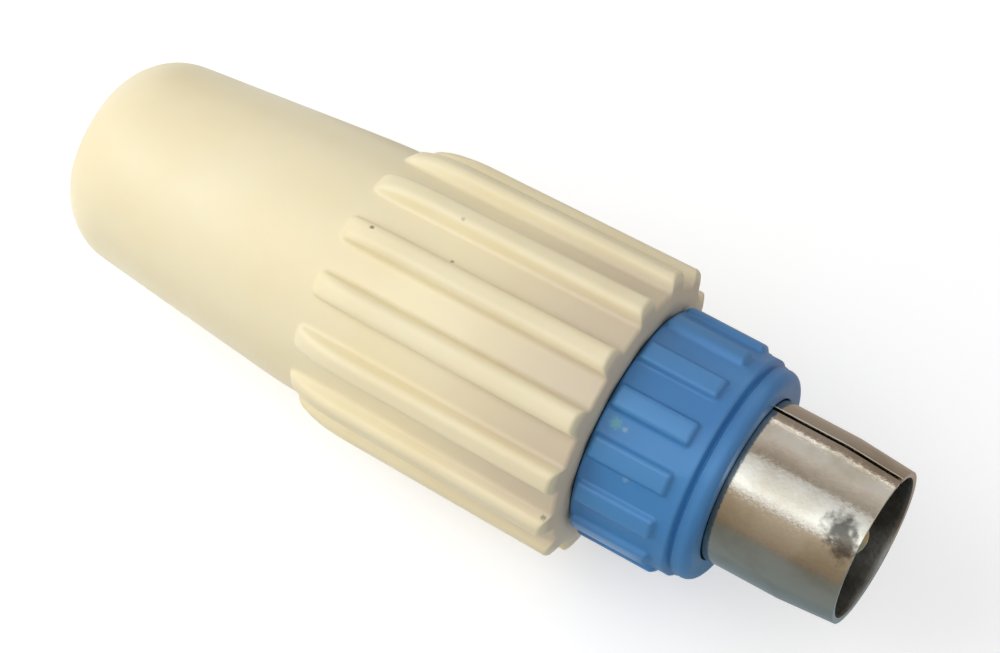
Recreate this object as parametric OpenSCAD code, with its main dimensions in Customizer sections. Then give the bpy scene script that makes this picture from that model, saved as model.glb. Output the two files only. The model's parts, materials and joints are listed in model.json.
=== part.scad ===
// Screw-together coaxial plug: a tapered grip cap, a ridged collar and a split contact sleeve.
// Each piece is drawn along its own axis, z, with z = 0 at the front face of the cap and the
// contact tip at +z. lie_down() then lays the plug on two of its grip ribs, as it comes to rest.

/* [Cap] */
// Length of the cap, from its front face to the plane of its tail end
cap_len = 34.2; // [32:0.1:40]
// Diameter at which the taper meets the plane of the tail end
tail_d = 11.3; // [10.6:0.1:12.6]
// Diameter where the taper runs into the grip skirt
waist_d = 14.8; // [14.4:0.1:15.4]
// Diameter of the grip skirt between its ribs, at the front face
skirt_d = 15.5; // [15.4:0.1:17]
// Length of the grip skirt
skirt_len = 17.5; // [15:0.1:19]
// Radius of the rounded tail end
tail_round = 4; // [1:0.1:4.4]
// Diameter of the flat inner part of the front face
face_d = 14; // [13.2:0.1:14.8]
// Slope of the front face outside its flat part, and of the ribs' front ends
face_slope = 16; // [0:1:25]

/* [Grip ribs] */
// Number of grip ribs round the skirt
rib_count = 14; // [8:1:18]
// Width of a rib at its root
rib_w = 1.75; // [1.4:0.05:2.2]
// Height of a rib above the skirt
rib_h = 0.95; // [0.5:0.05:1.4]
// Slope of a rib's sides
rib_draft = 14; // [0:1:15]
// Radius of the rounded edges along a rib
rib_round = 0.55; // [0.1:0.05:0.6]
// Length over which a rib climbs out of the cap at its rear end
rib_ramp = 3.5; // [1.5:0.1:6]
// Radius of the rounded edge at the front end of a rib
rib_nose = 0.25; // [0.1:0.05:0.6]
// Radius of the corners of a rib's rear end
rib_corner = 0.5; // [0.1:0.05:0.65]
// Distance from the start of the skirt to the rear end of a rib
rib_set_back = 0.6; // [0.2:0.1:2]

/* [Cable entry] */
// Diameter of the cable that the clamp holds
cable_d = 6.6; // [5:0.1:7]
// Radial play of the cable in the tail hole
entry_play = 0.3; // [0.1:0.05:0.5]

/* [Thread] */
// Outer diameter of the collar's threaded spigot
thread_d = 11.9; // [11.6:0.05:12.4]
// Length of the spigot
thread_len = 6.5; // [5:0.1:8]
// Radial play between the spigot and the cap
thread_play = 0.1; // [0.05:0.01:0.2]
// Depth of the cap's thread beyond the end of the spigot
thread_run_out = 8.2; // [0.5:0.1:9]

/* [Collar] */
// Length of the collar in front of the cap
collar_len = 7.1; // [6.6:0.1:9]
// Diameter of the collar between its ridges
collar_d = 12.9; // [12.6:0.1:13.6]
// Radius of the rounded heel beside the cap
heel_round = 0.4; // [0.2:0.05:0.5]
// Number of finger ridges
ridge_count = 14; // [8:1:18]
// Width of a ridge at its root
ridge_w = 1.5; // [1:0.05:1.8]
// Height of a ridge
ridge_h = 0.35; // [0.2:0.05:0.5]
// Slope of a ridge's sides
ridge_draft = 30; // [10:1:40]
// Radius of the rounded edges along a ridge
ridge_round = 0.3; // [0.1:0.05:0.35]
// Turn of the ridges about the axis
ridge_turn = 21; // [0:1:25]
// Distance from the front end of a ridge to the front of the collar
band_len = 2.1; // [1.9:0.1:3]
// Distance from the groove to the front of the collar
groove_set_back = 1.1; // [0.9:0.05:1.4]
// Depth of the groove
groove_depth = 0.4; // [0.1:0.05:0.5]
// Width of the groove
groove_w = 0.45; // [0.2:0.05:0.6]
// Radius of the rounded front lip
lip_round = 0.6; // [0.2:0.05:0.8]
// Thickness of the front wall that the sleeve passes through
front_wall = 1.75; // [1.2:0.05:2.2]

/* [Contact sleeve] */
// Diameter of the sleeve
sleeve_d = 9.5; // [9.2:0.05:9.6]
// Diameter of the sleeve at its tip, where it is closed in to grip
tip_d = 9.0; // [8.6:0.05:9.2]
// Length of sleeve in front of the collar
sleeve_out = 7.75; // [6.5:0.05:9]
// Length of the straight stretch in front of the collar
sleeve_straight = 4.2; // [3:0.1:5]
// Thickness of the rolled sheet
sheet_t = 0.35; // [0.25:0.01:0.5]
// Width of the slit where the sheet meets
slit_w = 0.35; // [0.1:0.05:0.6]
// Turn of the slit about the axis, from the side the plug lies on
slit_turn = 150; // [100:1:260]
// Height of the bead that the collar holds
bead_h = 0.5; // [0.3:0.01:0.55]
// Length of the bead
bead_len = 0.8; // [0.5:0.05:1.2]
// Length of tube behind the bead
tube_back = 6.1; // [5.5:0.1:7]
// Length of the open trough behind the tube
trough_len = 12.5; // [11:0.1:14]
// Height of the trough's lips above the axis
trough_lip = 0.8; // [0:0.1:2]

/* [Centre pin] */
// Diameter of the pin
pin_d = 2.34; // [2:0.02:2.6]
// Diameter of the pin's shank, inside the insulator
shank_d = 2.9; // [2.7:0.1:3.4]
// Distance from the pin's nose back from the sleeve's tip
pin_recess = 0.5; // [0:0.1:1.5]
// Diameter of the terminal block behind the insulator
block_d = 4; // [3.6:0.1:5]
// Length of the terminal block
block_len = 8; // [7:0.1:9]
// Diameter of the hole for the inner conductor
wire_d = 1.3; // [0.8:0.05:1.5]
// Depth of the hole for the inner conductor
wire_depth = 5.5; // [4.5:0.1:6]
// Diameter of the terminal screw
screw_d = 1.9; // [1.6:0.05:2.1]
// Length of the terminal screw
screw_len = 2.5; // [2.2:0.1:3]
// Distance from the terminal screw to the rear end of the block
screw_set_back = 3; // [2:0.1:4]

/* [Insulator] */
// Length of the insulator
insulator_len = 5.7; // [4:0.1:6.5]

/* [Cable clamp] */
// Length of the clamp
clamp_len = 8; // [6.5:0.1:9]
// Length of the clamp's straight part
clamp_straight = 4; // [3:0.1:5]
// Half angle of the clamp's cone and of its seat in the cap
clamp_angle = 20; // [14:1:24]
// Number of saw cuts across the clamp
clamp_cuts = 2; // [1:1:4]
// Width of a saw cut
clamp_cut_w = 0.6; // [0.3:0.1:1]

/* [Hidden] */
$fn = 96;

// Clearances between pieces
face_play = 0.05;
axial_play = 0.2;
bore_play = 0.1;
hole_play = 0.1;
core_play = 0.03;
screw_play = 0.05;
clamp_play = 0.25;

// Small chamfers, undercuts and steps
edge = 0.25;
rib_root = 0.5;
rib_sink = 0.2;
rib_trim = 0.05;
sleeve_neck = 0.2;
ridge_root = 0.3;
snap_step = 0.15;
arc_steps = 10;
bar_steps = 5;
cut_over = 1;

// Stations along the axis, from the front of the collar back to the end of the clamp
collar_front = face_play + collar_len;
tip_z = collar_front + sleeve_out;
neck_z = collar_front + axial_play;
taper_z = neck_z + sleeve_straight;
shoulder_z = collar_front - front_wall;
bead_front = shoulder_z - axial_play;
bead_rear = bead_front - bead_len;
snap_front = bead_rear - axial_play;
snap_rear = snap_front - bead_len;
tube_rear = bead_rear - tube_back;
trough_rear = tube_rear - trough_len;
insulator_rear = tube_rear + axial_play;
insulator_front = insulator_rear + insulator_len;
block_rear = insulator_rear - block_len;
screw_z = block_rear + screw_set_back;
screw_reach = wire_d / 4;
clamp_cone_z = trough_rear - clamp_straight;
clamp_rear = trough_rear - clamp_len;
spigot_rear = face_play - thread_len;
thread_end = spigot_rear - thread_run_out;
rib_rear = rib_set_back - skirt_len;

// Radii, from the sleeve outwards
sleeve_r = sleeve_d / 2;
neck_r = sleeve_r - sleeve_neck;
sleeve_in_r = neck_r - sheet_t;
bead_r = neck_r + bead_h;
hole_r = sleeve_r + hole_play;
collar_bore_r = bead_r + bore_play;
snap_r = collar_bore_r - snap_step;
thread_bore_r = thread_d / 2 + thread_play;
entry_r = cable_d / 2 + entry_play;
cavity_r = sleeve_r + axial_play + 2 * clamp_play;
clamp_r = cavity_r - clamp_play;
seat_end = clamp_cone_z - (cavity_r - entry_r) / tan(clamp_angle);

// Taper and rounded end of the cap
taper_len = cap_len - skirt_len;
taper_angle = atan((waist_d - tail_d) / 2 / taper_len);
tail_round_r = tail_d / 2 + tail_round * tan(taper_angle) - tail_round / cos(taper_angle);
tail_edge_r = max(entry_r, tail_round_r);
tail_start = -acos((tail_edge_r - tail_round_r) / tail_round);
tail_edge_z = tail_round - cap_len + tail_round * sin(tail_start);

// Rounded edge of a rib: its centre's height above the skirt and its offset from the rib's middle
rib_edge_h = rib_h - rib_round;
rib_edge_y = edge_offset(rib_w, rib_h, rib_draft, rib_round);

// Rest: the plug lies on the rounded edges of its two lowest ribs, which follow the skirt's draft
rib_pitch = 360 / rib_count;
crest_rear = rib_rear + rib_ramp;
skirt_draft = atan((skirt_d - waist_d) / 2 / skirt_len);
tilt = atan(tan(skirt_draft) * cos(rib_pitch / 2));
rest_depth = (skirt_d / 2 + rib_edge_h) * cos(rib_pitch / 2) + rib_edge_y * sin(rib_pitch / 2)
    + rib_round;
lift = rest_depth * cos(tilt);
x_low = tail_edge_z * cos(tilt) - tail_edge_r * sin(tilt);
x_high = tip_z * cos(tilt) + tip_d / 2 * sin(tilt);

// Radius of the skirt between the ribs at a station z
function skirt_r(z) = skirt_d / 2 + z * (skirt_d - waist_d) / 2 / skirt_len;

// Station of the cap's sloped front face at a radius r
function face_z(r) = (face_d / 2 - r) * tan(face_slope);

// Offset from the middle of a drafted bar to the centre of its rounded edge
function edge_offset(width, height, draft, edge_r) =
    width / 2 - (height - edge_r) * tan(draft) - edge_r / cos(draft);

// Points on an arc about a centre, from one angle to another
function arc(centre, radius, from, to, steps = arc_steps) = [
    for (i = [0 : steps])
        let (a = from + (to - from) * i / steps) centre + radius * [cos(a), sin(a)]
];

// Lays a piece drawn along z on its ribs, with its tip towards +X
module lie_down() {
    translate([-(x_low + x_high) / 2, 0, lift])
        rotate([0, 90 - tilt, 0])
            children();
}

// Half section of the cap: outside from tail to front, then inside from front to tail
module cap_section() {
    polygon(concat(
        arc([tail_round_r, tail_round - cap_len], tail_round, tail_start, -taper_angle),
        [
            [waist_d / 2, -skirt_len],
            [skirt_r(face_z(skirt_d / 2)), face_z(skirt_d / 2)],
            [face_d / 2, 0],
            [thread_bore_r + edge, 0],
            [thread_bore_r, -edge],
            [thread_bore_r, thread_end],
            [cavity_r, thread_end],
            [cavity_r, clamp_cone_z],
            [entry_r, seat_end]
        ],
        tail_edge_r > entry_r ? [[entry_r, tail_edge_z]] : []
    ));
}

// Half section that trims the ribs' ends: an elliptic climb at the rear, the sloped face in front
module rib_ends() {
    inner_r = waist_d / 2 - rib_root;
    top = rib_h + rib_trim;
    climb_len = rib_ramp + rib_sink;
    nose_r = skirt_d / 2 + top - rib_nose;
    nose_z = face_z(nose_r) - rib_nose / cos(face_slope);
    climb = [
        for (i = [0 : arc_steps])
            let (a = 90 * i / arc_steps, z = crest_rear - climb_len * cos(a))
            [skirt_r(z) - rib_sink + (top + rib_sink) * sin(a), z]
    ];
    polygon(concat(
        [[inner_r, crest_rear - climb_len]],
        climb,
        arc([nose_r, nose_z], rib_nose, 0, 90 - face_slope),
        [[inner_r, face_z(inner_r)]]
    ));
}

// Cross section of a drafted bar with rounded edges: x is its height, y runs across it
module bar_profile(width, height, draft, edge_r, root) {
    root_y = width / 2 + root * tan(draft);
    edge_y = edge_offset(width, height, draft, edge_r);
    side = 90 - draft;
    polygon(concat(
        [[-root, -root_y], [-root, root_y]],
        arc([height - edge_r, edge_y], edge_r, side, 0, bar_steps),
        arc([height - edge_r, -edge_y], edge_r, 0, -side, bar_steps)
    ));
}

// Plan of one rib, with its front end at x = 0 and its rear end, with round corners, at +x
module rib_plan() {
    half_w = rib_w / 2 + rib_trim;
    corner_x = -rib_rear - rib_corner;
    corner_y = half_w - rib_corner;
    polygon(concat(
        [[-cut_over, half_w], [-cut_over, -half_w]],
        arc([corner_x, -corner_y], rib_corner, -90, 0),
        arc([corner_x, corner_y], rib_corner, 0, 90)
    ));
}

// One straight rib along the skirt's draft, cut to its plan
module rib() {
    intersection() {
        translate([skirt_d / 2, 0, 0])
            rotate([0, skirt_draft, 0])
                translate([0, 0, -skirt_len])
                    linear_extrude(height = skirt_len + cut_over)
                        bar_profile(rib_w, rib_h, rib_draft, rib_round, rib_root);
        rotate([0, 90, 0])
            linear_extrude(height = skirt_d)
                rib_plan();
    }
}

module grip_ribs() {
    intersection() {
        rotate_extrude() rib_ends();
        for (i = [0 : rib_count - 1])
            rotate([0, 0, (i + 0.5) * rib_pitch])
                rib();
    }
}

module rear_cap() {
    color([0.94, 0.87, 0.73])
        lie_down() {
            rotate_extrude() cap_section();
            grip_ribs();
        }
}

// Half section of the collar: spigot, rounded heel, groove and lip, then the stepped bore
module collar_section() {
    collar_r = collar_d / 2;
    groove_z = collar_front - groove_set_back;
    heel = min(heel_round, collar_r - thread_d / 2);
    polygon(concat(
        [
            [thread_d / 2 - edge, spigot_rear],
            [thread_d / 2, spigot_rear + edge],
            [thread_d / 2, face_play]
        ],
        arc([collar_r - heel, face_play + heel], heel, -90, 0),
        [
            [collar_r, groove_z - groove_w / 2],
            [collar_r - groove_depth, groove_z],
            [collar_r - edge, groove_z + groove_w / 2]
        ],
        arc([collar_r - edge - lip_round, collar_front - lip_round], lip_round, 0, 90),
        [
            [hole_r, collar_front],
            [hole_r, shoulder_z],
            [collar_bore_r, shoulder_z],
            [collar_bore_r, snap_front],
            [snap_r, snap_front],
            [snap_r, snap_rear],
            [collar_bore_r, snap_rear - snap_step],
            [collar_bore_r, spigot_rear]
        ]
    ));
}

// Rounded ridges for the fingers, from the heel to the plain band
module finger_ridges() {
    rear_z = face_play + heel_round;
    for (i = [0 : ridge_count - 1])
        rotate([0, 0, ridge_turn + i * 360 / ridge_count])
            translate([collar_d / 2, 0, rear_z])
                linear_extrude(height = collar_front - band_len - rear_z)
                    bar_profile(ridge_w, ridge_h, ridge_draft, ridge_round, ridge_root);
}

module front_collar() {
    color([0.24, 0.49, 0.72])
        lie_down() {
            rotate_extrude() collar_section();
            finger_ridges();
        }
}

// Half section of the rolled sheet: trough and tube, bead, neck, straight stretch and closed-in tip
module sleeve_section() {
    tip_r = tip_d / 2;
    polygon([
        [neck_r, trough_rear],
        [neck_r, bead_rear],
        [bead_r, bead_rear],
        [bead_r, bead_front],
        [neck_r, bead_front],
        [neck_r, neck_z],
        [sleeve_r, neck_z],
        [sleeve_r, taper_z],
        [tip_r, tip_z],
        [tip_r - sheet_t, tip_z],
        [sleeve_r - sheet_t, taper_z],
        [sleeve_r - sheet_t, neck_z + sheet_t],
        [sleeve_in_r, neck_z + sheet_t],
        [sleeve_in_r, trough_rear]
    ]);
}

module outer_sleeve() {
    color([0.78, 0.76, 0.72])
        lie_down()
            difference() {
                rotate_extrude() sleeve_section();
                rotate([0, 0, slit_turn]) {
                    translate([0, -slit_w / 2, tube_rear - cut_over])
                        cube([sleeve_d, slit_w, tip_z - tube_rear + 2 * cut_over]);
                    translate([trough_lip, -sleeve_d, trough_rear - cut_over])
                        cube([sleeve_d, 2 * sleeve_d, trough_len + cut_over]);
                }
            }
}

module insulator() {
    insulator_r = sleeve_in_r - core_play;
    hole = shank_d / 2 + core_play;
    color([0.9, 0.89, 0.85])
        lie_down()
            rotate_extrude()
                polygon([
                    [hole, insulator_rear],
                    [insulator_r, insulator_rear],
                    [insulator_r, insulator_front - edge],
                    [insulator_r - edge, insulator_front],
                    [hole, insulator_front]
                ]);
}

// Half section of the pin: terminal block, shank in the insulator, and pin with its round nose
module pin_section() {
    nose_z = tip_z - pin_recess;
    polygon(concat(
        [
            [0, block_rear],
            [block_d / 2 - edge, block_rear],
            [block_d / 2, block_rear + edge],
            [block_d / 2, insulator_rear],
            [shank_d / 2, insulator_rear],
            [shank_d / 2, insulator_front],
            [pin_d / 2, insulator_front]
        ],
        arc([0, nose_z - pin_d / 2], pin_d / 2, 0, 90)
    ));
}

module centre_pin() {
    color([0.8, 0.77, 0.7])
        lie_down()
            difference() {
                rotate_extrude() pin_section();
                translate([0, 0, block_rear - cut_over])
                    cylinder(d = wire_d, h = wire_depth + cut_over);
                rotate([0, 0, slit_turn])
                    translate([-screw_reach, 0, screw_z])
                        rotate([0, 90, 0])
                            cylinder(d = screw_d + 2 * screw_play, h = block_d);
            }
}

// Terminal screw, turned in past the middle of the conductor's hole
module pin_screw() {
    slot_w = screw_d / 4;
    slot_depth = screw_d / 3;
    color([0.72, 0.7, 0.66])
        lie_down()
            rotate([0, 0, slit_turn])
                translate([screw_play - screw_reach, 0, screw_z])
                    rotate([0, 90, 0])
                        difference() {
                            cylinder(d = screw_d, h = screw_len);
                            translate([-screw_d, -slot_w / 2, screw_len - slot_depth])
                                cube([2 * screw_d, slot_w, screw_d]);
                        }
}

// Slotted clamp that the cap's inner cone closes on the cable
module cable_clamp() {
    cone_drop = (clamp_len - clamp_straight) * tan(clamp_angle);
    color([0.86, 0.84, 0.78])
        lie_down()
            difference() {
                rotate_extrude()
                    polygon([
                        [cable_d / 2, trough_rear],
                        [clamp_r, trough_rear],
                        [clamp_r, clamp_cone_z],
                        [clamp_r - cone_drop, clamp_rear],
                        [cable_d / 2, clamp_rear]
                    ]);
                for (i = [0 : clamp_cuts - 1])
                    rotate([0, 0, slit_turn + i * 180 / clamp_cuts])
                        translate([-sleeve_d, -clamp_cut_w / 2, clamp_rear - cut_over])
                            cube([2 * sleeve_d, clamp_cut_w, clamp_len - clamp_straight / 2 + cut_over]);
            }
}

rear_cap();
front_collar();
outer_sleeve();
insulator();
centre_pin();
pin_screw();
cable_clamp();
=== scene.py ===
# A screw-together coaxial plug, in the order in which its pieces go together. The plug's sizes are
# in millimetres, and z is counted along its own axis, from the cap's front face towards the tip.
import json
import math

import bpy
import numpy as np
from mathutils import Euler, Matrix, Vector


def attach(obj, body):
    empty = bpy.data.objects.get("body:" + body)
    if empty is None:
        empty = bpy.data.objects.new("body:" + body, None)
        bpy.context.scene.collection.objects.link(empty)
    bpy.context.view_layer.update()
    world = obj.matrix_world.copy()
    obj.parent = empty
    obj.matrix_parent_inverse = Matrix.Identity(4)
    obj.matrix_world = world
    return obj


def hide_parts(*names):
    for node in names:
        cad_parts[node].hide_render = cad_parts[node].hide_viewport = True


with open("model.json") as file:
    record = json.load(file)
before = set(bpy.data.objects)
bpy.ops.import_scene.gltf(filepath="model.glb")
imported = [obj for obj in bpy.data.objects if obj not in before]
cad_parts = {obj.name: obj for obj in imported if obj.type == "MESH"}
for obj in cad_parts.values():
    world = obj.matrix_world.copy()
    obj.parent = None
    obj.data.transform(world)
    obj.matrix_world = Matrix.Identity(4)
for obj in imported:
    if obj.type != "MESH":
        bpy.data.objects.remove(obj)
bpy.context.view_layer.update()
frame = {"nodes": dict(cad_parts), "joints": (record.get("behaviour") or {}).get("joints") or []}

# Centre pin: a brass contact turned from rod and thinly plated, with a round nose in front and a
# terminal block behind, pressed into the insulator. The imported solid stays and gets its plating.


def add_node(tree, kind, inputs=None, **settings):
    """Adds one node: settings are its properties, and each input takes a value or an output."""
    made = tree.nodes.new(kind)
    for name, value in settings.items():
        setattr(made, name, value)
    for name, value in (inputs or {}).items():
        if isinstance(value, bpy.types.NodeSocket):
            tree.links.new(value, made.inputs[name])
        else:
            made.inputs[name].default_value = value
    return made


def mixed(tree, amount, below, above):
    """Colour of one layer over another by an amount from 0 to 1."""
    layers = {"Factor": amount, "A": below, "B": above}
    return add_node(tree, "ShaderNodeMix", layers, data_type="RGBA").outputs["Result"]


def noise_of(tree, where, scale, detail):
    """Value of a noise at a place, from 0 to 1."""
    inputs = {"Vector": where, "Scale": scale, "Detail": detail}
    return add_node(tree, "ShaderNodeTexNoise", inputs).outputs["Fac"]


def ranged(tree, value, low, high, start=0.0, end=1.0, soft=False):
    """A value carried from low and high to start and end, evenly or by a soft step, then held."""
    inputs = {"Value": value, "From Min": low, "From Max": high, "To Min": start, "To Max": end}
    step = "SMOOTHSTEP" if soft else "LINEAR"
    return add_node(tree, "ShaderNodeMapRange", inputs, interpolation_type=step).outputs["Result"]


def new_group(name, inputs, outputs):
    """Starts a node group: inputs map a name to its socket type and default, outputs to a type."""
    group = bpy.data.node_groups.new(name, "ShaderNodeTree")
    for label, (kind, default) in inputs.items():
        socket = group.interface.new_socket(label, in_out="INPUT", socket_type=kind)
        if default is not None:
            socket.default_value = default
    for label, kind in outputs.items():
        group.interface.new_socket(label, in_out="OUTPUT", socket_type=kind)
    given = group.nodes.new("NodeGroupInput").outputs
    result = group.nodes.new("NodeGroupOutput").inputs
    return group, given, result


def new_finish(name):
    """Starts a material: gives it, its node tree, its shader and the Object coordinates."""
    finish = bpy.data.materials.new(name)
    finish.use_nodes = True
    tree = finish.node_tree
    where = tree.nodes.new("ShaderNodeTexCoord").outputs["Object"]
    return finish, tree, tree.nodes["Principled BSDF"], where


def finish_from(name, group, looks, height):
    """A material whose colour, roughness and bump come from a node group.

    looks are the group's inputs, and height is that of the bump in metres. Gives the material, its
    tree and shader, the group's outputs and the Object coordinates.
    """
    finish, tree, shader, where = new_finish(name)
    skin = add_node(tree, "ShaderNodeGroup", {"Where": where, **looks}, node_tree=group).outputs
    bump = add_node(tree, "ShaderNodeBump", {"Height": skin["Height"], "Distance": height})
    tree.links.new(skin["Colour"], shader.inputs["Base Color"])
    tree.links.new(skin["Roughness"], shader.inputs["Roughness"])
    tree.links.new(bump.outputs["Normal"], shader.inputs["Normal"])
    return finish, tree, shader, skin, where


def make_plating():
    """Plated metal: slow noise blends the bright and the dulled colour, fine noise is the grain."""
    group, given, result = new_group(
        "plating",
        {
            "Where": ("NodeSocketVector", None),
            "Bright": ("NodeSocketColor", (0.5, 0.5, 0.5, 1)),
            "Dulled": ("NodeSocketColor", (0.3, 0.3, 0.3, 1)),
            "Patch Scale": ("NodeSocketFloat", 300.0),
            "Grain Scale": ("NodeSocketFloat", 5000.0),
            "Smooth": ("NodeSocketFloat", 0.15),
            "Rough": ("NodeSocketFloat", 0.3),
        },
        {"Colour": "NodeSocketColor", "Roughness": "NodeSocketFloat", "Height": "NodeSocketFloat"},
    )
    patch = noise_of(group, given["Where"], given["Patch Scale"], detail=4.0)
    grain = noise_of(group, given["Where"], given["Grain Scale"], detail=2.0)
    dulled = ranged(group, patch, 0.42, 0.68, soft=True)
    tint = mixed(group, dulled, given["Bright"], given["Dulled"])
    gloss = ranged(group, grain, 0.3, 0.7, given["Smooth"], given["Rough"])
    for label, value in (("Colour", tint), ("Roughness", gloss), ("Height", grain)):
        group.links.new(value, result[label])
    return group


def plated(name, bright, dulled, smooth, rough, grain):
    """A plated metal finish from two colours and two roughnesses; grain is its height in metres."""
    looks = {"Bright": (*bright, 1), "Dulled": (*dulled, 1), "Smooth": smooth, "Rough": rough}
    finish, tree, shader, skin, where = finish_from(name, plating, looks, grain)
    shader.inputs["Metallic"].default_value = 1.0
    return finish, tree, shader, skin, where


def dress(node, made):
    """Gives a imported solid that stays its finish, the first of what plated or moulded gives."""
    solid = frame["nodes"][node]
    solid.data.materials.clear()
    solid.data.materials.append(made[0])


plating = make_plating()
dress("centre_pin", plated("pin_plating", bright=(0.55, 0.44, 0.22), dulled=(0.34, 0.26, 0.12),
                           smooth=0.2, rough=0.4, grain=4e-6))

# Terminal screw: a slotted steel grub screw in the pin's block, which clamps the inner conductor.
# It is plain zinc plated.
dress("pin_screw", plated("screw_plating", bright=(0.55, 0.55, 0.53), dulled=(0.38, 0.37, 0.34),
                          smooth=0.25, rough=0.42, grain=4e-6))

# Insulator: a turned bush of natural plastic, milky white, which holds the pin in the middle of the
# sleeve. Its matt face closes the bottom of the sleeve's mouth.


def make_moulding():
    """Moulded plastic: slow clouds blend two colours, fine noise gives the skin its texture."""
    group, given, result = new_group(
        "moulding",
        {
            "Where": ("NodeSocketVector", None),
            "Colour": ("NodeSocketColor", (0.8, 0.8, 0.8, 1)),
            "Cloud": ("NodeSocketColor", (0.7, 0.7, 0.7, 1)),
            "Cloud Scale": ("NodeSocketFloat", 180.0),
            "Texture Scale": ("NodeSocketFloat", 3500.0),
            "Smooth": ("NodeSocketFloat", 0.35),
            "Rough": ("NodeSocketFloat", 0.5),
        },
        {"Colour": "NodeSocketColor", "Roughness": "NodeSocketFloat", "Height": "NodeSocketFloat"},
    )
    cloud = noise_of(group, given["Where"], given["Cloud Scale"], detail=3.0)
    texture = noise_of(group, given["Where"], given["Texture Scale"], detail=3.0)
    clouded = ranged(group, cloud, 0.35, 0.7, soft=True)
    tint = mixed(group, clouded, given["Colour"], given["Cloud"])
    gloss = ranged(group, cloud, 0.3, 0.7, given["Smooth"], given["Rough"])
    for label, value in (("Colour", tint), ("Roughness", gloss), ("Height", texture)):
        group.links.new(value, result[label])
    return group


def moulded(name, colour, cloud, smooth, rough, depth):
    """A moulded plastic finish from two colours and two roughnesses; depth is in metres."""
    looks = {"Colour": (*colour, 1), "Cloud": (*cloud, 1), "Smooth": smooth, "Rough": rough}
    return finish_from(name, moulding, looks, depth)


moulding = make_moulding()
dress("insulator", moulded("insulator_plastic", colour=(0.74, 0.72, 0.66), cloud=(0.66, 0.63, 0.56),
                           smooth=0.4, rough=0.55, depth=5e-6))

# Outer sleeve: nickel-plated sheet rolled to a tube, with the open slit that lets it spring and a
# pressed bead that the collar holds. Behind the tube the sheet runs on as a trough for the cable.
sleeve_r = 4.75
tip_r = 4.5
neck_r = 4.55
bead_r = 5.05
bead_half = 0.75
sheet = 0.35
broken_edge = 0.06
broken_angle = 50.0
slit_w = 0.35
slit_turn = 150.0
trough_lip = 0.8
trough_rear, tube_rear = -14.2, -1.7
bead_rear, bead_front = 4.4, 5.2
bead_lead = 0.3
step_rear, step_front = 6.75, 7.0
taper_z, tip_z = 11.55, 14.9
row_gap = 0.05

collar_turn = next(joint for joint in frame["joints"] if joint["name"] == "collar_turn")
seat = np.array(collar_turn["pos_m"])
along = np.array(collar_turn["axis"]) / np.linalg.norm(collar_turn["axis"])
side = np.array([0.0, 1.0, 0.0])
down = np.cross(side, along)


def on_plug(radius, turn, z):
    """Points at a radius and z of the plug, turned in degrees from its underside, in metres."""
    turn = np.radians(turn)
    across = (radius * np.cos(turn))[..., None] * down + (radius * np.sin(turn))[..., None] * side
    return seat + (across + np.asarray(z)[..., None] * along) / 1000


def arc(r, z, radius, start, end, count):
    """Radii and z of points on an arc about (r, z), from one angle to another in degrees."""
    a = np.radians(np.linspace(start, end, count))
    return r + radius * np.cos(a), z + radius * np.sin(a)


def straight(start, end, count):
    """Radii and z of points inside a straight run, its ends left out."""
    share = np.arange(1, count + 1) / (count + 1)
    return start[0] + share * (end[0] - start[0]), start[1] + share * (end[1] - start[1])


def chain(*runs):
    """Joins runs of radii and z to one outline of a section."""
    return tuple(np.concatenate([np.atleast_1d(run[k]) for run in runs]) for k in (0, 1))


def ring(values, turns):
    """A row for each value, the same at every turn."""
    return np.repeat(np.asarray(values)[:, None], len(turns), axis=1)


def ease(share):
    """Smooth step from 0 to 1 with level ends."""
    share = np.clip(share, 0, 1)
    return share ** 2 * (3 - 2 * share)


def surface(name, points, keep=None, closed=False, raised=None):
    """A piece from a grid of points: each cell is a quad, and a closed grid is joined both ways.

    keep, if given, picks the cells that are made. raised, if given, is how far each point stands
    out of its ground, from 0 to 1, for the materials.
    """
    index = np.arange(points.shape[0] * points.shape[1]).reshape(points.shape[:2])
    if closed:
        index = np.vstack([index, index[:1]])
        index = np.hstack([index, index[:, :1]])
    cells = np.stack([index[:-1, :-1], index[:-1, 1:], index[1:, 1:], index[1:, :-1]], axis=-1)
    cells = cells.reshape(-1, 4) if keep is None else cells[keep]
    used, cells = np.unique(cells, return_inverse=True)
    mesh = bpy.data.meshes.new(name)
    mesh.from_pydata(points.reshape(-1, 3)[used].tolist(), [], cells.reshape(-1, 4).tolist())
    mesh.polygons.foreach_set("use_smooth", np.ones(len(mesh.polygons), bool))
    if raised is not None:
        share = mesh.attributes.new("raised", "FLOAT", "POINT")
        share.data.foreach_set("value", raised.ravel()[used].astype(np.float32))
    mesh.update()
    piece = bpy.data.objects.new(name, mesh)
    bpy.context.collection.objects.link(piece)
    return piece


def even_shading(piece):
    """Large faces set the direction of shared normals, so flats stay flat beside small rounds."""
    weighted = piece.modifiers.new("even_shading", "WEIGHTED_NORMAL")
    weighted.weight = 80
    weighted.keep_sharp = True


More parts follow.
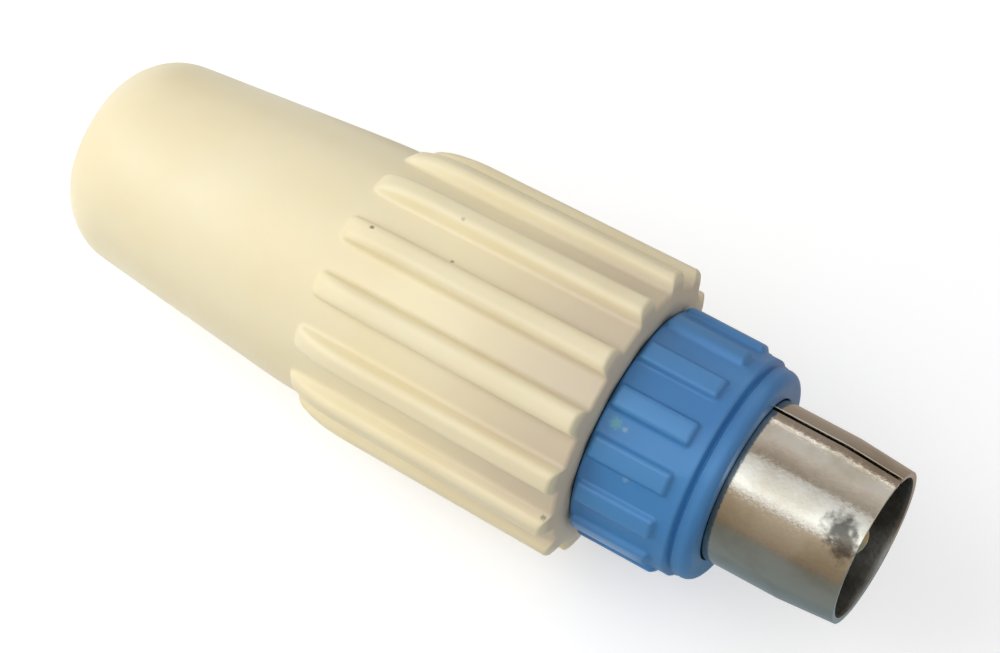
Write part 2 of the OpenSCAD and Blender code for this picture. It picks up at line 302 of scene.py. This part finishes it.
def rolled_sleeve():
    """Section outline turned round the axis, from one edge of the slit to the other.

    The bead swells by a squared cosine, and in front of it the tube widens by a smooth step. The
    trough is the part of the tube that lies behind the lips; the sheet's thickness, laid inwards,
    and its broken edges are modifiers.
    """
    bead_mid = (bead_front + bead_rear) / 2
    bulge = np.linspace(-1, 1, 15)
    swell = np.cos(bulge * math.pi / 2) ** 2
    step = np.linspace(0, 1, 5)
    outline = chain(
        (neck_r, trough_rear),
        straight((neck_r, trough_rear), (neck_r, tube_rear), 9),
        (neck_r, tube_rear),
        straight((neck_r, tube_rear), (neck_r, bead_rear - bead_lead), 5),
        (neck_r + (bead_r - neck_r) * swell, bead_mid + bead_half * bulge),
        straight((neck_r, bead_mid + bead_half), (neck_r, step_rear - row_gap), 2),
        (neck_r + (sleeve_r - neck_r) * ease(step), step_rear + (step_front - step_rear) * step),
        straight((sleeve_r, step_front + row_gap), (sleeve_r, taper_z), 7),
        (sleeve_r, taper_z),
        straight((sleeve_r, taper_z), (tip_r, tip_z), 8),
        (tip_r, tip_z),
    )
    edge = math.degrees(slit_w / 2 / sleeve_r)
    lip = math.degrees(math.acos(trough_lip / neck_r))
    fine = 12.0
    turns = np.concatenate([
        np.linspace(edge, fine, 14)[:-1],
        np.linspace(fine, lip, 26)[:-1],
        np.linspace(lip, 360 - lip, 60)[:-1],
        np.linspace(360 - lip, 360 - fine, 26)[:-1],
        np.linspace(360 - fine, 360 - edge, 14),
    ])
    middle = (turns[1:] + turns[:-1]) / 2
    in_trough = (outline[1][1:] <= tube_rear)[:, None]
    keep = ~in_trough | ((middle > lip) & (middle < 360 - lip))[None, :]
    points = on_plug(ring(outline[0], turns), slit_turn + turns[None, :], ring(outline[1], turns))
    return surface("rolled_sleeve", points, keep)


def in_plug(tree, where):
    """Object coordinates turned into the plug's own millimetres: down, aside, and along."""
    plug_axes = Matrix((down, side, along)).transposed()
    place = {"Vector": where, "Location": tuple(seat), "Rotation": tuple(plug_axes.to_euler()),
             "Scale": (0.001, 0.001, 0.001)}
    return add_node(tree, "ShaderNodeMapping", place, vector_type="TEXTURE").outputs["Vector"]


def math_of(tree, operation, first, second):
    """Result of one sum on two numbers or outputs."""
    terms = {0: first, 1: second}
    return add_node(tree, "ShaderNodeMath", terms, operation=operation).outputs["Value"]


def make_speck():
    """A ragged spot: 1 near its centre, 0 further off.

    Its edge lies softly where the distance from the centre, in sizes, passes 1.6 times a noise.
    """
    group, given, result = new_group(
        "speck",
        {
            "Place": ("NodeSocketVector", None),
            "Centre": ("NodeSocketVector", (0.0, 0.0, 0.0)),
            "Size": ("NodeSocketFloat", 0.2),
            "Ragged Scale": ("NodeSocketFloat", 7.0),
        },
        {"Mask": "NodeSocketFloat"},
    )
    apart = add_node(group, "ShaderNodeVectorMath", {0: given["Place"], 1: given["Centre"]},
                     operation="DISTANCE").outputs["Value"]
    ragged = noise_of(group, given["Place"], given["Ragged Scale"], detail=2.0)
    reach = math_of(group, "MULTIPLY", ragged, 1.6)
    share = math_of(group, "DIVIDE", apart, given["Size"])
    mask = ranged(group, math_of(group, "SUBTRACT", reach, share), -0.5, 0.5, soft=True)
    group.links.new(mask, result["Mask"])
    return group


def add_specks(tree, place, colour, specks, ragged_scale=7.0):
    """Lays specks on a colour: each has its radius, turn and z on the plug, its size and colour.

    ragged_scale is how many times a millimetre the noise breaks their edges.
    """
    for radius, turn, z, size, tint in specks:
        angle = math.radians(turn)
        centre = (radius * math.cos(angle), radius * math.sin(angle), z)
        looks = {"Place": place, "Centre": centre, "Size": size, "Ragged Scale": ragged_scale}
        spot = add_node(tree, "ShaderNodeGroup", looks, node_tree=speck)
        colour = mixed(tree, spot.outputs["Mask"], colour, (*tint, 1))
    return colour


speck = make_speck()
sleeve = rolled_sleeve()
wall = sleeve.modifiers.new("sheet", "SOLIDIFY")
wall.thickness = sheet / 1000
wall.offset = -1
wall.use_even_offset = True
wall.material_offset = 1
broken = sleeve.modifiers.new("broken_edges", "BEVEL")
broken.width = broken_edge / 1000
broken.segments = 2
broken.limit_method = "ANGLE"
broken.angle_limit = math.radians(broken_angle)
even_shading(sleeve)
nickel, nickel_tree, nickel_shader, nickel_skin, nickel_where = plated(
    "sleeve_nickel", bright=(0.48, 0.445, 0.385), dulled=(0.38, 0.335, 0.265),
    smooth=0.1, rough=0.22, grain=9e-6)
# Painted reflection: two ragged near-black spots on the nickel near the tip stand in for a dark
# reflection there.
painted_dark_reflection = [
    (4.57, 208.0, 13.7, 1.0, (0.085, 0.078, 0.066)),
    (4.53, 216.5, 14.25, 0.8, (0.10, 0.085, 0.07)),
]
nickel_colour = add_specks(nickel_tree, in_plug(nickel_tree, nickel_where), nickel_skin["Colour"],
                           painted_dark_reflection, ragged_scale=2.2)
nickel_tree.links.new(nickel_colour, nickel_shader.inputs["Base Color"])
# Painted shade: the sheet's inner face gets a darker, duller copy of the nickel, so the inside of
# the tube and its mouth read dark.
shaded_inside_nickel = plated("sleeve_inside_painted_shade", bright=(0.26, 0.25, 0.23), dulled=(0.15, 0.14, 0.125),
                       smooth=0.35, rough=0.5, grain=4e-6)
sleeve.data.materials.append(nickel)
sleeve.data.materials.append(shaded_inside_nickel[0])
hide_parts("outer_sleeve")
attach(sleeve, "core")

# Cable clamp: a slotted plastic ring behind the trough, which the cap's inner cone closes on the
# cable when the cap is screwed home.
dress("cable_clamp", moulded("clamp_plastic", colour=(0.70, 0.66, 0.56), cloud=(0.62, 0.57, 0.47),
                             smooth=0.4, rough=0.55, depth=6e-6))

# Front collar: blue plastic, moulded in one piece. A threaded spigot goes into the cap; the ring in
# front has rounded finger ridges between flats, a groove and a rounded lip, and traps the sleeve.
face_play = 0.05
collar_front = 7.15
collar_r = 6.45
heel = 0.2
ridge_count = 14
ridge_w = 1.5
ridge_h = 0.35
ridge_draft = 30.0
ridge_round = 0.3
ridge_fillet = 0.2
ridge_corner = 0.3
ridge_turn = 21.0
ridge_rear, ridge_front = 0.15, 5.05
flat_fade = 0.5
groove_z = 6.05
groove_w = 0.45
groove_depth = 0.4
lip_round = 0.6
lip_drop = 0.25
hole_r = 4.81
hole_round = 0.06
shoulder_z = 5.4
collar_bore_r = 5.15
snap_r = 5.0
snap_front, snap_rear = 4.2, 3.4
snap_ramp = 0.15
spigot_r = 5.95
spigot_rear = -6.45
spigot_thread_front = -0.25
edge_round = 0.25
crease = 0.02
chamfer = 0.05
thread_pitch = 1.25
thread_depth = 0.45
thread_flank = 3.2
spigot_run_out = 0.5


def thread_cut(turn, z, rear, front, rear_run, front_run):
    """Depth of the thread at a turn and z: a rounded ridge that climbs once a turn.

    It fades out over one run at its rear end and another at its front end.
    """
    phase = (z / thread_pitch - turn / 360) % 1
    form = np.clip(thread_flank * (0.5 - np.abs(phase - 0.5)), 0, 1)
    fade = np.clip((front - z) / front_run, 0, 1) * np.clip((z - rear) / rear_run, 0, 1)
    return thread_depth * form * fade


def bar_section(height, draft, edge_r, fillet):
    """Cross section of a bar: its distances in from the foot and its heights there.

    It runs over the fillet, the drafted side and the round to the top.
    """
    lean = math.radians(draft)
    foot = fillet * (1 - math.sin(lean)) / math.cos(lean)
    hollow = np.radians(np.linspace(0, 90 - draft, 5))
    top = (height - edge_r) * math.tan(lean) + edge_r / math.cos(lean)
    turned = np.radians(np.linspace(180 - draft, 90, 8))
    into = np.concatenate([fillet * np.sin(hollow) - foot, top + edge_r * np.cos(turned)])
    rise = np.concatenate([fillet * (1 - np.cos(hollow)),
                           height - edge_r + edge_r * np.sin(turned)])
    return into, rise


def bar_columns(into, width, half_pitch):
    """Offsets of a bar's columns from its middle: at its section's points, then over the ground."""
    crest = width / 2 - into[-1]
    half = np.concatenate([
        crest * np.array([0, 0.5]),
        width / 2 - into[::-1],
        np.linspace(width / 2 - into[0], half_pitch, 5)[1:],
    ])
    return np.concatenate([-half[:0:-1], half[:-1]])


def inside_bar(offset, z, width, rear, front, corner):
    """Distance in from the outline of a bar that runs from rear to front and has round corners."""
    over_side = np.abs(offset) - (width / 2 - corner)
    over_end = np.abs(z - (rear + front) / 2) - ((front - rear) / 2 - corner)
    outside = np.hypot(np.clip(over_side, 0, None), np.clip(over_end, 0, None))
    return corner - outside - np.clip(np.maximum(over_side, over_end), None, 0)


def ridged_collar():
    """Section outline turned round the axis, with ridges raised on the ring and the thread cut in.

    Between two ridges the ring falls to a flat, which is its chord; a ridge's height is its cross
    section at the distance in from its outline. Rows lie closer where the ridges begin and end.
    """
    into, rise = bar_section(ridge_h, ridge_draft, ridge_round, ridge_fillet)
    half_pitch = math.pi * collar_r / ridge_count
    offsets = bar_columns(into, ridge_w, half_pitch)
    turns = (ridge_turn + 360 / ridge_count * np.arange(ridge_count)[:, None]
             + np.degrees(offsets / collar_r)[None, :]).ravel()
    offsets = np.tile(offsets, ridge_count)[None, :]
    thread_z = np.linspace(spigot_rear + edge_round, spigot_thread_front - row_gap, 44)
    ring_end = ridge_front + row_gap
    ring_z = np.concatenate([
        np.linspace(face_play + heel + 0.03, ridge_rear + 0.6, 10),
        np.linspace(ridge_rear + 0.9, ridge_front - 0.9, 8),
        np.linspace(ridge_front - 0.65, ring_end, 14),
    ])
    groove_rear = groove_z - groove_w / 2
    groove_in = np.linspace(-1, 1, 13)
    groove_r = collar_r - groove_depth * ease(1 - np.abs(groove_in)) ** 0.7
    groove_r = np.minimum(groove_r, collar_r - lip_drop * np.clip(groove_in, 0, 1) ** 0.5)
    outline = chain(
        arc(spigot_r - edge_round, spigot_rear + edge_round, edge_round, -90, 0, 4),
        (np.full(len(thread_z), spigot_r), thread_z),
        (spigot_r - crease, face_play - chamfer),
        arc(collar_r - heel, face_play + heel, heel, -88, 0, 8),
        (np.full(len(ring_z), collar_r), ring_z),
        straight((collar_r, ring_end), (collar_r, groove_rear), 4),
        (groove_r, groove_z + groove_w / 2 * groove_in),
        arc(collar_r - lip_drop - lip_round, collar_front - lip_round, lip_round, 0, 90, 12),
        arc(hole_r + hole_round, collar_front - hole_round, hole_round, 90, 180, 4),
        (hole_r, shoulder_z),
        (hole_r + crease, shoulder_z),
        (collar_bore_r - crease, shoulder_z),
        (collar_bore_r, shoulder_z - crease),
        (collar_bore_r, snap_front),
        (snap_r, snap_front - chamfer),
        (snap_r, snap_rear),
        (collar_bore_r, snap_rear - snap_ramp),
        straight((collar_bore_r, snap_rear - snap_ramp), (collar_bore_r, spigot_rear), 6),
        (collar_bore_r, spigot_rear + chamfer),
        (collar_bore_r + chamfer, spigot_rear),
    )
    radius = ring(outline[0], turns)
    station = ring(outline[1], turns)
    outer = np.arange(len(outline[0])) < np.argmax(outline[0] < collar_bore_r)
    on_ring = outer[:, None] & (station > face_play) & (station < groove_rear)
    flat_half = (half_pitch - ridge_w / 2) / collar_r
    from_flat = np.clip((half_pitch - np.abs(offsets)) / collar_r, 0, flat_half)
    flat = collar_r * (1 - math.cos(flat_half) / np.cos(from_flat))
    flat = flat * ease((station - face_play) / heel) * ease((groove_rear - station) / flat_fade)
    inside = inside_bar(offsets, station, ridge_w, ridge_rear, ridge_front, ridge_corner)
    height = np.interp(inside, into, rise)
    raised = np.where(on_ring, height / ridge_h, 0)
    radius = np.where(on_ring, radius - flat + height, radius)
    on_spigot = (station < 0) & (np.abs(radius - spigot_r) < 0.01)
    cut = thread_cut(turns[None, :], station, spigot_rear, spigot_thread_front,
                     spigot_run_out, spigot_run_out)
    radius = np.where(on_spigot, radius - cut, radius)
    return surface("ridged_collar", on_plug(radius, turns[None, :], station),
                   closed=True, raised=raised)


def raised_of(tree):
    """How far the surface stands out of its ground, from the mesh."""
    return add_node(tree, "ShaderNodeAttribute", attribute_name="raised").outputs["Fac"]


collar = ridged_collar()
even_shading(collar)
blue, blue_tree, blue_shader, blue_skin, blue_where = moulded(
    "collar_blue", colour=(0.052, 0.240, 0.545), cloud=(0.044, 0.203, 0.485),
    smooth=0.3, rough=0.42, depth=4e-6)
rubbed_blue = (0.095, 0.310, 0.610, 1)
rub_most = 0.3
blue_rub = math_of(blue_tree, "MULTIPLY", raised_of(blue_tree), rub_most)
blue_colour = mixed(blue_tree, blue_rub, blue_skin["Colour"], rubbed_blue)
collar_flecks = [
    (6.41, 212.9, 0.95, 0.36, (0.10, 0.34, 0.45)),
    (6.41, 213.6, 1.57, 0.16, (0.20, 0.37, 0.56)),
    (6.42, 234.9, 2.66, 0.17, (0.16, 0.34, 0.56)),
]
blue_colour = add_specks(blue_tree, in_plug(blue_tree, blue_where), blue_colour, collar_flecks)
blue_tree.links.new(blue_colour, blue_shader.inputs["Base Color"])
blue_shader.inputs["Specular IOR Level"].default_value = 0.5
collar.data.materials.append(blue)
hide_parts("front_collar")
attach(collar, "collar")

# Rear cap: ivory plastic, moulded in one piece. A tapered tail with a rounded end and the cable's
# entry, and a skirt with drafted ribs for the grip; its threaded bore takes the collar's spigot.
cap_len = 34.2
tail_r = 5.65
tail_round = 4.0
waist_r = 7.4
skirt_r = 7.75
skirt_len = 17.5
waist_blend = 2.2
rib_count = 14
rib_w = 1.75
rib_h = 0.938
rib_draft = 14.0
rib_round = 0.55
rib_fillet = 0.3
rib_ramp = 3.5
rib_nose = 0.25
rib_corner = 0.5
face_r = 7.0
face_slope = 16.0
rib_rear = -16.9
rib_mean_r = 8.35
entry_r = 3.6
entry_round = 0.3
thread_bore_r = 6.05
thread_front = -0.3
thread_end = -14.65
bore_run_in, bore_run_out = 0.6, 0.8
cavity_r = 5.45
cone_z = -18.2
seat_end = -23.283


def ribbed_cap():
    """Section outline turned round the axis, with ribs raised on the skirt and the thread cut in.

    A rib's height at a point is its cross section at the distance in from its outline, times the
    elliptic climb along the rib; in front it ends in the cap's sloped face, over a small round.
    """
    lean = math.atan((waist_r - tail_r) / (cap_len - skirt_len))
    taper = math.degrees(lean)
    centre_r = tail_r + tail_round * math.tan(lean) - tail_round / math.cos(lean)
    centre_z = tail_round - cap_len
    entry_in = tail_round - entry_round
    entry_drop = math.sqrt(entry_in ** 2 - (entry_r + entry_round - centre_r) ** 2)
    meet = -math.degrees(math.atan2(entry_drop, entry_r + entry_round - centre_r))

    into, rise = bar_section(rib_h, rib_draft, rib_round, rib_fillet)
    offsets = bar_columns(into, rib_w, math.pi * rib_mean_r / rib_count)
    turns = (360 / rib_count * (np.arange(rib_count)[:, None] + 0.5)
             + np.degrees(offsets / rib_mean_r)[None, :]).ravel()
    offsets = np.tile(offsets, rib_count)[None, :]

    # Rows of the tail and the skirt, closest where the ribs begin.
    skirt_z = np.concatenate([
        np.linspace(-29.5, -21.5, 8),
        np.linspace(-20.8, -17.3, 8),
        np.linspace(-17.2, -15.4, 25),
        np.linspace(-15.2, -13.4, 9),
        np.linspace(-12.6, -0.8, 9),
    ])
    tail_line = waist_r + (skirt_z + skirt_len) * math.tan(lean)
    skirt_line = skirt_r + skirt_z * (skirt_r - waist_r) / skirt_len
    near = np.clip(waist_blend - np.abs(skirt_z + skirt_len), 0, None)
    kink = math.tan(lean) - (skirt_r - waist_r) / skirt_len
    blend = near ** 2 / (4 * waist_blend) * kink
    body_r = np.minimum(tail_line, skirt_line) - blend

    tail_end = chain(
        arc(entry_r + entry_round, centre_z - entry_drop, entry_round, 180, 360 + meet, 8),
        arc(centre_r, centre_z, tail_round, meet, -taper, 16),
    )
    thread_z = np.linspace(-edge_round - 0.1, thread_end + chamfer, 60)
    bore = chain(
        arc(thread_bore_r + edge_round, -edge_round, edge_round, 90, 180, 4),
        (np.full(len(thread_z), thread_bore_r), thread_z),
        (thread_bore_r - chamfer, thread_end),
        (cavity_r + chamfer, thread_end),
        (cavity_r, thread_end - chamfer),
        straight((cavity_r, thread_end), (cavity_r, cone_z), 5),
        (cavity_r, cone_z),
        straight((cavity_r, cone_z), (entry_r, seat_end), 3),
        (entry_r, seat_end),
        straight((entry_r, seat_end), (entry_r, centre_z - entry_drop), 4),
    )
    tail_rings, bore_rings = [[ring(way, turns) for way in run] for run in (tail_end, bore)]

    inside = inside_bar(offsets, skirt_z[:, None], rib_w, rib_rear, -rib_rear, rib_corner)
    to_climb = np.clip(rib_rear + rib_ramp - skirt_z, 0, rib_ramp) / rib_ramp
    climb = np.sqrt(np.clip(1 - to_climb ** 2, 0, 1))
    height = np.interp(inside, into, rise) * climb[:, None]
    front = np.interp(rib_w / 2 - np.abs(offsets), into, rise)
    slope = math.radians(face_slope)
    nose_mid = skirt_r + front - rib_nose
    nose_back = (face_r - nose_mid) * math.tan(slope) - rib_nose / math.cos(slope)
    bend = np.radians(np.linspace(0, 90 - face_slope, 8))[:, None]
    nose_r = nose_mid + rib_nose * np.cos(bend)
    nose_z = nose_back + rib_nose * np.sin(bend)
    face_share = np.array([0.35, 0.7, 1.0])[:, None]
    face_in = nose_r[-1] + face_share * (face_r - nose_r[-1])
    face_z = (face_r - face_in) * math.tan(slope)

    radius = np.vstack([tail_rings[0], body_r[:, None] + height, nose_r, face_in, bore_rings[0]])
    station = np.vstack([tail_rings[1], ring(skirt_z, turns), nose_z, face_z, bore_rings[1]])
    ends = front * np.ones_like(bend)
    raised = np.vstack([0 * tail_rings[0], height, ends, 0 * face_in, 0 * bore_rings[0]]) / rib_h
    on_thread = (np.abs(radius - thread_bore_r) < 0.01) & (station < -edge_round)
    cut = thread_cut(turns[None, :], station, thread_end, thread_front, bore_run_out, bore_run_in)
    radius = np.where(on_thread, radius + cut, radius)
    return surface("ribbed_cap", on_plug(radius, turns[None, :], station),
                   closed=True, raised=raised)


cap = ribbed_cap()
even_shading(cap)
ivory, ivory_tree, ivory_shader, ivory_skin, ivory_where = moulded(
    "cap_ivory", colour=(0.922, 0.822, 0.560), cloud=(0.900, 0.786, 0.512),
    smooth=0.36, rough=0.48, depth=3e-6)
ivory_place = in_plug(ivory_tree, ivory_where)
ivory_along = add_node(ivory_tree, "ShaderNodeSeparateXYZ", {"Vector": ivory_place}).outputs["Z"]
# Painted shade: the ivory is darkened towards the cap's front face, and more in the valleys between
# the ribs than on their crests.
painted_shade_colour = (0.66, 0.555, 0.41, 1)
shade_rear, shade_front = -12.0, 0.0
shade_most = 0.88
shade_towards_front = ranged(ivory_tree, ivory_along, shade_rear, shade_front, 0.0, shade_most, soft=True)
shade_in_valleys = ranged(ivory_tree, raised_of(ivory_tree), 0.0, 0.7, 1.0, 0.2)
painted_shade = math_of(ivory_tree, "MULTIPLY", shade_towards_front, shade_in_valleys)
ivory_colour = mixed(ivory_tree, painted_shade, ivory_skin["Colour"], painted_shade_colour)
cap_specks = [
    (8.20, 190.2, -15.30, 0.14, (0.30, 0.20, 0.09)),
    (7.53, 185.6, -10.78, 0.12, (0.46, 0.37, 0.25)),
    (8.39, 170.4, -11.45, 0.14, (0.64, 0.55, 0.39)),
    (8.06, 264.5, -0.55, 0.17, (0.36, 0.30, 0.19)),
]
ivory_colour = add_specks(ivory_tree, ivory_place, ivory_colour, cap_specks)
ivory_tree.links.new(ivory_colour, ivory_shader.inputs["Base Color"])
ivory_shader.inputs["Subsurface Weight"].default_value = 0.15
ivory_shader.inputs["Subsurface Radius"].default_value = (1.0, 0.6, 0.3)
ivory_shader.inputs["Subsurface Scale"].default_value = 0.0012
cap.data.materials.append(ivory)
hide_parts("rear_cap")
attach(cap, "cap")

# Studio, in metres: a pale floor that takes the plug's soft shadow, white all round, one large
# softbox over the tail and the near side, and cards round the plug that only its gloss shows, which
# paint its reflections; the brightest paint its highlights in place of the softbox.
floor_half = 0.6
floor_grey = 0.74
floor_glow = 0.5
room_light = 0.5


def quad(name, corner, across, up, steps=2):
    """A flat sheet: a grid of points from a corner, along two edges."""
    share = np.linspace(0, 1, steps)
    over = share[None, :, None] * np.array(across)
    return surface(name, np.array(corner) + over + share[:, None, None] * np.array(up))


def shown(tree):
    """1 for the rays that see a backdrop: from the camera, from gloss and through clear things."""
    path = add_node(tree, "ShaderNodeLightPath").outputs
    either = math_of(tree, "MAXIMUM", path["Is Camera Ray"], path["Is Glossy Ray"])
    return math_of(tree, "MAXIMUM", either, path["Is Transmission Ray"])


floor = quad("floor", (-floor_half, -floor_half, 0), (2 * floor_half, 0, 0),
             (0, 2 * floor_half, 0), steps=9)
floor_paint, floor_tree, floor_shader = new_finish("floor_paint")[:3]
floor_shader.inputs["Base Color"].default_value = (floor_grey, floor_grey, floor_grey, 1)
floor_shader.inputs["Roughness"].default_value = 0.9
floor_shader.inputs["Specular IOR Level"].default_value = 0.1
floor_shader.inputs["Emission Color"].default_value = (1, 1, 1, 1)
floor_lift = math_of(floor_tree, "MULTIPLY", shown(floor_tree), floor_glow)
floor_tree.links.new(floor_lift, floor_shader.inputs["Emission Strength"])
floor.data.materials.append(floor_paint)

world = bpy.data.worlds.new("white_room")
bpy.context.scene.world = world
world.use_nodes = True
room = world.node_tree
level = ranged(room, shown(room), 0.0, 1.0, room_light, 1.0)
background = room.nodes["Background"]
background.inputs["Color"].default_value = (1, 1, 1, 1)
room.links.new(level, background.inputs["Strength"])


def softbox(name, aim, towards, distance, size, power):
    """A square area lamp at a distance from its aim, in watts; gloss shows the cards instead."""
    lamp = bpy.data.lights.new(name, "AREA")
    lamp.shape = "SQUARE"
    lamp.size = size
    lamp.energy = power
    holder = bpy.data.objects.new(name, lamp)
    holder.visible_glossy = False
    bpy.context.collection.objects.link(holder)
    away = Vector(towards).normalized()
    holder.location = Vector(aim) + away * distance
    holder.rotation_euler = away.to_track_quat("Z", "Y").to_euler()


def card(name, corner, across, up, colour, far_colour=None):
    """A coloured sheet that only gloss reflects: it casts no light and no shadow.

    A far colour, if given, is that of the far edge, and the colour runs evenly towards it.
    """
    sheet_of_card = quad(name, corner, across, up)
    paint, paint_tree, paint_shader, paint_where = new_finish(name)
    paint_shader.inputs["Base Color"].default_value = (0, 0, 0, 1)
    paint_shader.inputs["Specular IOR Level"].default_value = 0.0
    paint_shader.inputs["Emission Color"].default_value = (*colour, 1)
    paint_shader.inputs["Emission Strength"].default_value = 1.0
    if far_colour is not None:
        way = int(np.argmax(np.abs(up)))
        place = add_node(paint_tree, "ShaderNodeSeparateXYZ", {"Vector": paint_where})
        share = ranged(paint_tree, place.outputs["XYZ"[way]], corner[way], corner[way] + up[way])
        run = mixed(paint_tree, share, (*colour, 1), (*far_colour, 1))
        paint_tree.links.new(run, paint_shader.inputs["Emission Color"])
    sheet_of_card.data.materials.append(paint)
    sheet_of_card.visible_camera = False
    sheet_of_card.visible_diffuse = False
    sheet_of_card.visible_transmission = False
    sheet_of_card.visible_shadow = False


softbox("key_softbox", aim=(-0.014, 0, 0.007), towards=(-0.58, -0.42, 0.70),
        distance=0.14, size=0.14, power=0.132)
card("near_card", (-0.4, -0.16, 0), (0.8, 0, 0), (0, 0, 0.151),
     (0.44, 0.365, 0.28), (0.88, 0.77, 0.63))
# Painted shade in reflection: the sheets on the floor in front of and under the plug are darker and
# blue-grey, as the sleeve would show the floor in the plug's shadow.
card("near_floor_shade_card", (-0.2, -0.16, 0.0003), (0.4, 0, 0), (0, 0.15, 0),
     (0.36, 0.315, 0.255), (0.345, 0.41, 0.43))
card("floor_shade_under_card", (0.0125, -0.0101, 0.0003), (0.1, 0, 0), (0, 0.015, 0), (0.30, 0.375, 0.42))
card("far_floor_card", (-0.02, 0.005, 0.0003), (0.13, 0, 0), (0, 0.195, 0), (0.48, 0.41, 0.35))
card("far_card", (-0.4, 0.2, 0), (0.8, 0, 0), (0, 0, 0.1), (0.45, 0.38, 0.33))
# Painted highlight: the far strip glows brighter than white, for the thin bright line beside the
# sleeve's slit.
card("far_strip", (-0.4, 0.2, 0.1), (0.8, 0, 0), (0, 0, 0.014), (2.7, 2.7, 2.6))
card("over_near_card", (-0.3, -0.215, 0.2), (0.5, 0, 0), (0, 0.085, 0),
     (0.84, 0.78, 0.71), (2.3, 2.48, 2.62))
card("over_far_card", (-0.3, -0.13, 0.2), (0.5, 0, 0), (0, 0.145, 0),
     (2.3, 2.48, 2.62), (1.05, 1.10, 1.15))
card("top_card", (-0.4, 0.05, 0.4), (0.7, 0, 0), (0, 0.25, 0),
     (0.52, 0.465, 0.41), (1.1, 1.05, 1.02))

# Camera: at the photograph's viewing angle, with a long lens. Lengths are in metres, those of the
# lens and the sensor in millimetres.
view_azimuth = 29.671
view_elevation = 59.117
view_roll = 2.549
view_distance = 0.21
view_aim = (0.001295, -0.000166, 0.010878)
lens = 141.493
sensor_width = 36.0

view_camera = bpy.data.cameras.new("camera")
view_camera.lens = lens
view_camera.sensor_width = sensor_width
camera = bpy.data.objects.new("camera", view_camera)
bpy.context.collection.objects.link(camera)
turned = Euler((math.radians(90 - view_elevation), 0, math.radians(view_azimuth))).to_matrix()
turned = turned @ Matrix.Rotation(math.radians(view_roll), 3, "Z")
camera.rotation_euler = turned.to_euler()
camera.location = Vector(view_aim) + turned.col[2] * view_distance
bpy.context.scene.camera = camera
bpy.context.scene.view_settings.view_transform = "Standard"
